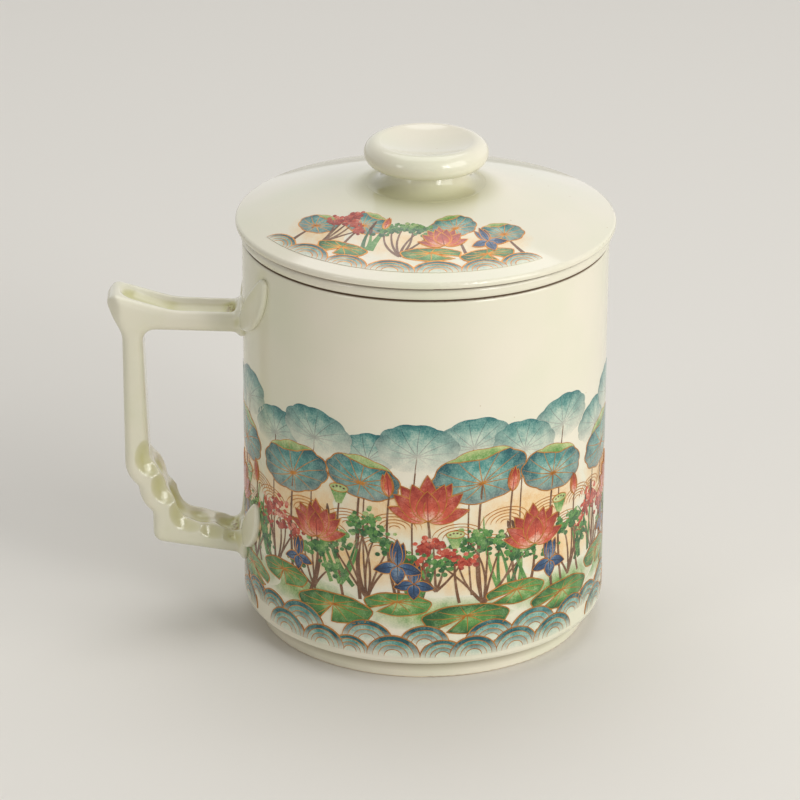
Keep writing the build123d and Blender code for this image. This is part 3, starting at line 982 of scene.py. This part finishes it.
def leaf_rim(centre, width, height, turn, lobes):
    """The scalloped margin of a round leaf seen aslant."""
    rim = []
    for k in range(RIM_STEPS):
        angle = math.tau * k / RIM_STEPS
        scallop = 0.94 + 0.06 * abs(math.sin(lobes * angle / 2))
        edge = complex(width / 2 * math.cos(angle), height / 2 * math.sin(angle))
        rim.append(centre + turn * edge * scallop)
    return rim


def reach_in(spot, centre, width, height, turn=1):
    """How far out a spot is in an oval: 0 at its centre, 1 at its edge and past it."""
    away = (spot - centre) / turn
    return min(1.0, math.hypot(2 * away.real / width, 2 * away.imag / height))


def standing_leaf(coats, centre, width, height, lean, layer, water, strength, near):
    """A lotus leaf that stands above the water, deep at its scalloped margin and pale at its heart."""
    turn = cmath.rect(1, math.radians(lean))
    rim = leaf_rim(centre, width, height, turn, picks.choice((9, 10, 11)))
    heart = centre - turn * complex(0, 0.14 * height)
    top = max(spot.imag for spot in rim)
    fade = NEAR_FADE if near else FAR_FADE

    def reach(spot):
        return reach_in(spot, centre, width, height, turn)

    def cover(spot):
        depth = min(1.0, max(0.0, (top - spot.imag) / height))
        return 1 - fade * depth**1.3

    stalk_layer, stalk_width = (layer - 0.3, 0.8) if near else (layer + 0.25, 0.5)
    stalk(coats, complex(heart.real, water), heart, 0.03, stalk_layer, stalk_width)
    coats["teal"].patch(rim, layer, lambda spot: strength * (0.3 + 0.7 * reach(spot) ** 1.5), cover)
    line = "gold" if near else "teal"
    for k in range(0, RIM_STEPS, VEIN_EVERY):
        tip = heart + 0.95 * (rim[k] - heart)
        coats[line].line(bow(heart, tip, 0.03), layer + 0.3, pointed(FINE), 1.0, cover)
    if near:
        coats["gold"].line(rim, layer + 0.4, GOLD_LINE, closed=True)
        outer = [rim[k] for k in FOLD]
        inner = []
        for k, spot in enumerate(outer):
            share = 0.3 * math.sin(math.pi * k / (len(outer) - 1))
            inner.append(spot + share * (heart - spot))
        fold = outer + inner[-2:0:-1]
        coats["green"].patch(fold, layer + 0.6, lambda spot: 0.55 - 0.5 * reach(spot) ** 4)
        coats["gold"].line(inner, layer + 0.8, tapered(GOLD_LINE))


def seed_pod(coats, base, size, layer):
    """A lotus pod: a cone with a flat top that is set with seeds."""
    top = base + complex(0, 0.8 * size)
    cup = [base + complex(-0.15 * size, 0), base + complex(0.15 * size, 0)]
    cup += [top + 0.5 * size, top - 0.5 * size]
    coats["green"].patch(cup, layer, lambda spot: 0.2 + 0.6 * (spot.imag - base.imag) / size)
    face = oval(top, size, 0.42 * size)
    coats["green"].patch(face, layer + 0.5, 0.15)
    coats["gold"].line(face, layer + 0.8, FINE, closed=True)
    for across, up in SEED_SHIFTS:
        seed = oval(top + complex(across * size, up * size), 0.13 * size, 0.1 * size, 8)
        coats["brown"].patch(seed, layer + 0.9, 0.8)


def lily_pad(coats, centre, width, height, layer, strength):
    """A floating pad seen from a little above, with a notch that runs to its heart."""
    notch = math.radians(picks.uniform(200, 340))
    heart = centre + complex(0, 0.12 * height)
    rim = []
    for k in range(PAD_STEPS + 1):
        angle = notch + PAD_GAP + (math.tau - 2 * PAD_GAP) * k / PAD_STEPS
        wave = 1 + 0.025 * math.sin(7 * angle)
        rim.append(centre + complex(width / 2 * math.cos(angle), height / 2 * math.sin(angle)) * wave)

    def shade(spot):
        reach = reach_in(spot, centre, width, height)
        return strength * (0.25 + 0.75 * reach) + 0.2 * (centre.real - spot.real) / width

    coats["green"].patch(rim + [heart], layer, shade)
    coats["gold"].line(rim + [heart], layer + 0.4, GOLD_LINE, closed=True)
    for k in range(3, PAD_STEPS, 4):
        vein = bow(heart, heart + 0.9 * (rim[k] - heart), 0.03)
        coats["gold"].line(vein, layer + 0.3, pointed(FINE))


print("a leaf has", RIM_STEPS // VEIN_EVERY, "veins")

# %% [markdown]
# Every flower is a fan of petals laid from back to front, each pale at its base and edged in gold, as a
# decorator fills and then outlines. A table gives each petal's lean in degrees, and its length and width as
# shares of the flower's size, so the lotus, its bud and the iris are three tables for one function.

# %% Flowers
LOTUS_PETALS = (
    (-34, 0.94, 0.40), (34, 0.94, 0.40), (0, 1.00, 0.42), (-74, 0.86, 0.30), (74, 0.86, 0.30),
    (-52, 0.90, 0.36), (52, 0.90, 0.36), (-18, 0.86, 0.42), (18, 0.86, 0.42), (0, 0.66, 0.46),
)
BUD_PETALS = ((-9, 0.9, 0.36), (9, 0.9, 0.36), (0, 1.0, 0.34))
IRIS_PETALS = (
    (-16, 0.9, 0.36), (16, 0.9, 0.36), (0, 1.0, 0.36),
    (-104, 0.86, 0.44), (104, 0.86, 0.44), (180, 0.7, 0.5),
)
PETAL_LAYER = 0.6


def flower(coats, colour, base, size, petals, layer):
    """A flower of petals laid from back to front, each pale at its base and edged in gold."""
    for k, (lean, length, width) in enumerate(petals):
        outline = petal(base, lean + picks.uniform(-4, 4), length * size, width * size)
        height = layer + PETAL_LAYER * k

        def towards_tip(spot):
            return 0.12 + 0.88 * min(1.0, abs(spot - base) / (length * size))

        coats[colour].patch(outline, height, towards_tip)
        coats["gold"].line(outline, height + 0.3, FINE, closed=True)
        tip = outline[len(outline) // 2]
        coats[colour].line(bow(base, base + 0.8 * (tip - base), 0.0), height + 0.2, pointed(FINE))


def lotus(coats, base, size, layer):
    """An open lotus blossom."""
    flower(coats, "red", base, size, LOTUS_PETALS, layer)


def bud(coats, base, size, lean, layer):
    """A closed lotus bud that leans by an angle in degrees."""
    petals = [(lean + shift, length, width) for shift, length, width in BUD_PETALS]
    flower(coats, "red", base, size, petals, layer)


def iris(coats, base, size, layer):
    """An iris, three petals up and three down."""
    flower(coats, "navy", base, size, IRIS_PETALS, layer)


print("petals: lotus", len(LOTUS_PETALS), "bud", len(BUD_PETALS), "iris", len(IRIS_PETALS))

# %% [markdown]
# Between the flowers grow reeds, single strokes that end in a point, some with a brown head, and water
# plants with clouds of small round leaves. Chance sets each blade and each leaf, from one seeded row of
# numbers, so the painting comes out the same in every run.

# %% Reeds and water plants
BLADE_WIDTH = 0.9
HEAD_WIDTH = 0.8
HEAD_EVERY = 3
LEAVES_PER_BRANCH = 26
LEAF_LAYER = 0.012


def reeds(coats, foot, spread, height, count, layer):
    """A clump of narrow blades, some of them with a brown head."""
    for k in range(count):
        start = foot + picks.uniform(-0.5, 0.5) * spread
        end = start + complex(picks.uniform(-0.35, 0.35) * height, height * picks.uniform(0.6, 1.0))
        path = bow(start, end, picks.uniform(-0.1, 0.1))
        coats["green"].line(path, layer + 0.1 * k, pointed(BLADE_WIDTH), picks.uniform(0.45, 1.0))
        if k % HEAD_EVERY == 0:
            neck = path[-4]
            tip = path[-1] + 0.3 * (path[-1] - neck)
            coats["brown"].line(bow(neck, tip, 0.0), layer + 0.6, tapered(HEAD_WIDTH), 0.8)


def water_plant(coats, foot, spread, height, branches, layer, colour):
    """Branching stalks that carry clusters of small round leaves, lighter towards the top."""
    count = 0
    for k in range(branches):
        share = (k + 0.5) / branches
        tip = foot + complex((share - 0.5) * spread, height * (0.5 + 0.5 * math.sin(math.pi * share)))
        tip += complex(picks.uniform(-1, 1), picks.uniform(-1.5, 1.5))
        stalk(coats, foot, tip, picks.uniform(-0.12, 0.12), layer, 0.6)
        for _ in range(LEAVES_PER_BRANCH):
            away = complex(picks.gauss(0, 0.085 * spread), picks.gauss(0, 0.075 * height))
            size = picks.uniform(0.8, 1.5)
            count += 1
            leaf = oval(tip + away, size, 0.8 * size, 9)
            tone = min(1.0, max(0.1, picks.uniform(0.45, 1.0) - 0.25 * away.imag / (0.15 * height)))
            coats[colour].patch(leaf, layer + 0.5 + LEAF_LAYER * count, tone)


print("a branch carries", LEAVES_PER_BRANCH, "leaves")

# %% [markdown]
# Still water is drawn as fine gold rings, rolling water as scales of half rings, deep and pale by turns, and
# mist as a wash that fades out all round.

# %% Water and mist
RIPPLE_STEPS = 14
WAVE_STEPS = 20
WAVE_RINGS = ((1.0, 1.0), (0.78, 0.45), (0.56, 0.8), (0.34, 0.25))


def arch(centre, half_width, height, steps):
    """Half an oval that stands on a spot, from right to left."""
    angles = [math.pi * (k / steps) for k in range(steps + 1)]
    return [centre + complex(half_width * math.cos(a), height * math.sin(a)) for a in angles]


def ripples(coats, centre, width, count, layer):
    """Rings of water that open downwards, one inside the other."""
    for k in range(count):
        size = width * (1 - k / count)
        coats["gold"].line(arch(centre, size / 2, 0.3 * size, RIPPLE_STEPS), layer, tapered(FINE))


def wave(coats, foot, size, layer, strength):
    """One scale of rolling water: half rings, deep and pale by turns, each edged in gold."""

    def cover(spot):
        return min(1.0, 0.15 + 1.6 * (spot.imag - foot.imag) / size)

    for k, (share, tone) in enumerate(WAVE_RINGS):
        ring = arch(foot, size * share, 0.85 * size * share, WAVE_STEPS)
        coats["teal"].patch(ring, layer + 0.5 * k, strength * tone, cover)
        coats["gold"].line(ring, layer + 0.5 * k + 0.3, tapered(GOLD_LINE if k == 0 else FINE))


def wash(coats, colour, centre, width, height, layer, tone, strength):
    """A soft cloud of thin enamel that fades out all round."""

    def cover(spot):
        away = spot - centre
        left = 1 - math.hypot(2 * away.real / width, 2 * away.imag / height) ** 2
        return strength * max(0.0, left)

    coats[colour].patch(oval(centre, width, height, 28), layer, tone, cover)


print("a wave has", len(WAVE_RINGS), "rings")

# %% [markdown]
# ## The frieze
# The pond runs right round the cup, so the drawing is laid three times side by side, and chance makes each
# turn a little different. It is painted from the back: mist, far leaves, ripples, near leaves, shallows,
# reeds and plants, pads, flowers and, lowest of all, the rolling water above the foot. Each row of a table
# starts with the place round the cup and, but for the waves, the height. Then come sizes, all in
# millimetres, and what else the motif asks for.

# %% Places in the frieze
WATER = 20.0
MISTS = (
    (-30, 40, 36, 15), (-4, 42, 38, 14), (24, 40, 38, 16),
    (-18, 29, 36, 14), (12, 27, 38, 14), (36, 29, 32, 14),
)
FAR_LEAVES = (
    (-39, 55, 17, 10, 8), (-27, 58, 19, 11, -10), (-15, 55, 16, 10, 12), (-3, 57, 19, 12, -6),
    (10, 59, 18, 11, 10), (22, 56, 17, 11, -12), (33, 59, 18, 11, 6),
)
RIPPLES = (
    (-41, 37, 11), (-35, 33, 11), (-30, 38, 12), (-24, 34, 11), (-18, 38, 12), (-12, 33, 11), (-7, 38, 12),
    (7, 36, 12), (13, 33, 11), (18, 38, 12), (23, 34, 11), (29, 38, 12), (34, 33, 11), (39, 38, 11),
)
RIPPLE_RINGS = 5
NEAR_LEAVES = ((-34, 48, 21, 12, 10), (-15, 49, 18, 10, -14), (12, 50, 23, 13, 8), (31, 48, 19, 11, -10))
SHALLOWS = ((-32, 19, 34, 9), (2, 17, 40, 9), (32, 19, 32, 9))
REEDS = ((-21, 23, 8, 18, 7), (19, 22, 8, 19, 7), (41, 23, 7, 16, 6), (-2, 22, 6, 13, 5))
PLANTS = (
    (-14, 20, 20, 18, 7, "green"), (13, 19, 22, 16, 8, "green"), (-39, 21, 16, 15, 6, "red"),
    (36, 20, 15, 14, 5, "green"), (2, 23, 13, 11, 5, "red"), (-28, 20, 14, 10, 5, "green"),
)
PADS = (
    (-36, 21, 15, 5.5, 0.8), (-22, 16.5, 19, 7.0, 0.9), (-7, 20, 15, 5.5, 0.75), (8, 16, 20, 7.0, 1.0),
    (21, 20.5, 15, 5.5, 0.8), (34, 16.5, 19, 6.5, 0.9),
)
PODS = ((-20, 42, 4.6), (6, 33, 4.2), (33, 37, 4.4))
BUDS = ((-9, 46, 6.0, -8), (18, 45, 6.0, 10), (37, 39, 5.5, -6))
LOTUSES = ((-27, 33, 9.0), (0, 40, 11.0), (25, 31, 10.0))
IRISES = ((-7, 29, 6.5), (-3.5, 25, 5.5), (30, 26, 6.0), (-32, 27, 5.0))
BACK_WAVES = ((-41, 5.5), (-31, 6.5), (-14, 6.0), (-1, 5.5), (14, 6.0), (25, 6.5), (37, 5.5))
FRONT_WAVES = ((-36, 6.0), (-25, 5.5), (-18, 4.5), (-8, 6.0), (3, 5.0), (10, 5.5), (20, 6.0), (31, 6.0))
BACK_FOOT = 10.0
FRONT_FOOT = 6.9
print("one turn has", len(FAR_LEAVES) + len(NEAR_LEAVES), "leaves and", len(LOTUSES), "lotuses")

# %% [markdown]
# The layers count up from the glaze, so what is painted later lies over what came before. Neighbours of one
# kind take turns between two or three layers, because they overlap too. Every flower and pod has a stem:
# how far its foot stands to the side, how deep it stands below the water's line, its bend and its width.

# %% The frieze
TURNS = 3
UNIT = math.tau * CUP_MM / TURNS
CHANCE_ROUND = 0.8
CHANCE_UP = 0.5
WASH_LAYER = 0.6
FAR_LAYER = 2
SHALLOWS_LAYER = 3
RIPPLE_LAYER = 4
NEAR_LAYER = 5
STEM_LAYER = 7
PLANT_LAYER = 7.5
PAD_LAYER = 10.5
FLOWER_LAYER = 11
BACK_WAVE_LAYER = 12
FRONT_WAVE_LAYER = 16.5
NEXT_WAVE_LAYER = 2.2
POD_STEM = (1, 0, 0.04, STALK_WIDTH)
BUD_STEM = (2, 0, 0.05, STALK_WIDTH)
LOTUS_STEM = (-2, 1, -0.06, 0.9)
IRIS_STEM = (1, 1, 0.04, STALK_WIDTH)


def new_coats(prefix, place):
    """An empty coat of each enamel for one surface."""
    return {name: Coat(prefix + "_" + name, place) for name in enamels}


def paint_pond(coats, start):
    """One turn of the pond, from a place round the cup."""

    def spot(s, z):
        across = start + s + picks.uniform(-CHANCE_ROUND, CHANCE_ROUND)
        return complex(across, z + picks.uniform(-CHANCE_UP, CHANCE_UP))

    def stemmed(s, z, stem):
        base = spot(s, z)
        side, deep, bend, width = stem
        stalk(coats, complex(base.real + side, WATER - deep), base, bend, STEM_LAYER, width)
        return base

    for k, (s, z, width, height) in enumerate(MISTS):
        layer = WASH_LAYER * (k % 3)
        wash(coats, "mist", spot(s, z), width, height, layer, tone=0.5, strength=0.95)
    for k, (s, z, width, height, lean) in enumerate(FAR_LEAVES):
        layer = FAR_LAYER + k % 2
        standing_leaf(coats, spot(s, z), width, height, lean, layer, WATER, strength=0.75, near=False)
    for s, z, width in RIPPLES:
        ripples(coats, spot(s, z), width, RIPPLE_RINGS, RIPPLE_LAYER)
    for k, (s, z, width, height, lean) in enumerate(NEAR_LEAVES):
        layer = NEAR_LAYER + k % 2
        standing_leaf(coats, spot(s, z), width, height, lean, layer, WATER, strength=1.0, near=True)
    for k, (s, z, width, height) in enumerate(SHALLOWS):
        layer = SHALLOWS_LAYER + WASH_LAYER * k
        wash(coats, "green", spot(s, z), width, height, layer, tone=0.3, strength=1.0)
    for s, z, spread, height, count in REEDS:
        reeds(coats, spot(s, z), spread, height, count, STEM_LAYER)
    for k, (s, z, spread, height, branches, colour) in enumerate(PLANTS):
        water_plant(coats, spot(s, z), spread, height, branches, PLANT_LAYER + 0.1 * k, colour)
    for k, (s, z, width, height, strength) in enumerate(PADS):
        lily_pad(coats, spot(s, z), width, height, PAD_LAYER + k % 2, strength)
    for s, z, size in PODS:
        seed_pod(coats, stemmed(s, z, POD_STEM), size, FLOWER_LAYER)
    for s, z, size, lean in BUDS:
        bud(coats, stemmed(s, z, BUD_STEM), size, lean, FLOWER_LAYER)
    for s, z, size in LOTUSES:
        lotus(coats, stemmed(s, z, LOTUS_STEM), size, FLOWER_LAYER)
    for s, z, size in IRISES:
        iris(coats, stemmed(s, z, IRIS_STEM), size, FLOWER_LAYER)
    rows = ((BACK_WAVES, BACK_FOOT, BACK_WAVE_LAYER), (FRONT_WAVES, FRONT_FOOT, FRONT_WAVE_LAYER))
    for waves, foot, lowest in rows:
        for k, (s, size) in enumerate(waves):
            layer = lowest + NEXT_WAVE_LAYER * (k % 2)
            wave(coats, complex(start + s, foot), size, layer, picks.uniform(0.8, 1.0))


frieze = new_coats("frieze", on_cup)
for turn_number in range(TURNS):
    paint_pond(frieze, UNIT * turn_number)
for name, coat in frieze.items():
    made = coat.piece(enamels[name], "mug")
    print(made.name, len(made.data.polygons), "faces")

# %% [markdown]
# ## The spray on the lid
# The lid carries a smaller spray of the same pond on the side that faces the drinker, in a crescent that
# follows the dome between its edge and the knob. Each row of a table starts with the place round the lid
# and, but for the waves, the way in towards the knob.

# %% The spray on the lid
SPRAY_SHIFT = -4.0
SPRAY_WATER = -6.0
SPRAY_MISTS = ((-19, -1, 26, 12), (0, 1, 32, 14), (17, -1, 22, 11))
SPRAY_LEAVES = ((-25, 1, 11, 7, 10), (-14, 6, 13, 8, -8), (11, 7, 14, 8, 8), (22, 2, 11, 7, -10))
SPRAY_REEDS = ((-8, -3, 4, 11, 5),)
SPRAY_PLANTS = ((-2, -4, 15, 12, 6, "green"), (-19, -4, 11, 11, 5, "red"))
SPRAY_IRISES = ((17, 0, 5.0),)
SPRAY_PADS = ((-14, -4, 11, 4, 0.9), (4, -3, 12, 4.4, 0.8), (15, -4.5, 11, 4, 1.0))
SPRAY_LOTUSES = ((7, 0, 7.0),)
SPRAY_BUDS = ((-8, 5, 4.6, -8),)
SPRAY_WAVES = ((-26, 3.8), (-19, 4.4), (-11, 4.0), (-3, 4.2), (5, 4.4), (13, 4.0), (20, 4.0))
SPRAY_FOOT = -9
SPRAY_LEAF_LAYER = 2
SPRAY_REED_LAYER = 4.5
SPRAY_PLANT_LAYER = 5
SPRAY_PAD_LAYER = 7
SPRAY_FLOWER_LAYER = 9
SPRAY_WAVE_LAYER = 10
SPRAY_NEXT_LAYER = 2


def paint_spray(coats):
    """The crescent on the lid, painted from the back like the frieze."""

    def spot(s, t):
        return complex(s + SPRAY_SHIFT, t)

    for k, (s, t, width, height) in enumerate(SPRAY_MISTS):
        wash(coats, "mist", spot(s, t), width, height, WASH_LAYER * k, tone=0.4, strength=0.85)
    for k, (s, t, width, height, lean) in enumerate(SPRAY_LEAVES):
        layer = SPRAY_LEAF_LAYER + k % 2
        standing_leaf(coats, spot(s, t), width, height, lean, layer, SPRAY_WATER, strength=0.9, near=True)
    for s, t, spread, height, count in SPRAY_REEDS:
        reeds(coats, spot(s, t), spread, height, count, SPRAY_REED_LAYER)
    for s, t, spread, height, branches, colour in SPRAY_PLANTS:
        water_plant(coats, spot(s, t), spread, height, branches, SPRAY_PLANT_LAYER, colour)
    for s, t, size in SPRAY_IRISES:
        iris(coats, spot(s, t), size, SPRAY_FLOWER_LAYER)
    for k, (s, t, width, height, strength) in enumerate(SPRAY_PADS):
        lily_pad(coats, spot(s, t), width, height, SPRAY_PAD_LAYER + k % 2, strength)
    for s, t, size in SPRAY_LOTUSES:
        lotus(coats, spot(s, t), size, SPRAY_FLOWER_LAYER)
    for s, t, size, lean in SPRAY_BUDS:
        bud(coats, spot(s, t), size, lean, SPRAY_FLOWER_LAYER)
    for k, (s, size) in enumerate(SPRAY_WAVES):
        wave(coats, spot(s, SPRAY_FOOT), size, SPRAY_WAVE_LAYER + SPRAY_NEXT_LAYER * (k % 2), 0.9)


spray = new_coats("spray", on_lid)
paint_spray(spray)
for name, coat in spray.items():
    made = coat.piece(enamels[name], "lid")
    print(made.name, len(made.data.polygons), "faces")
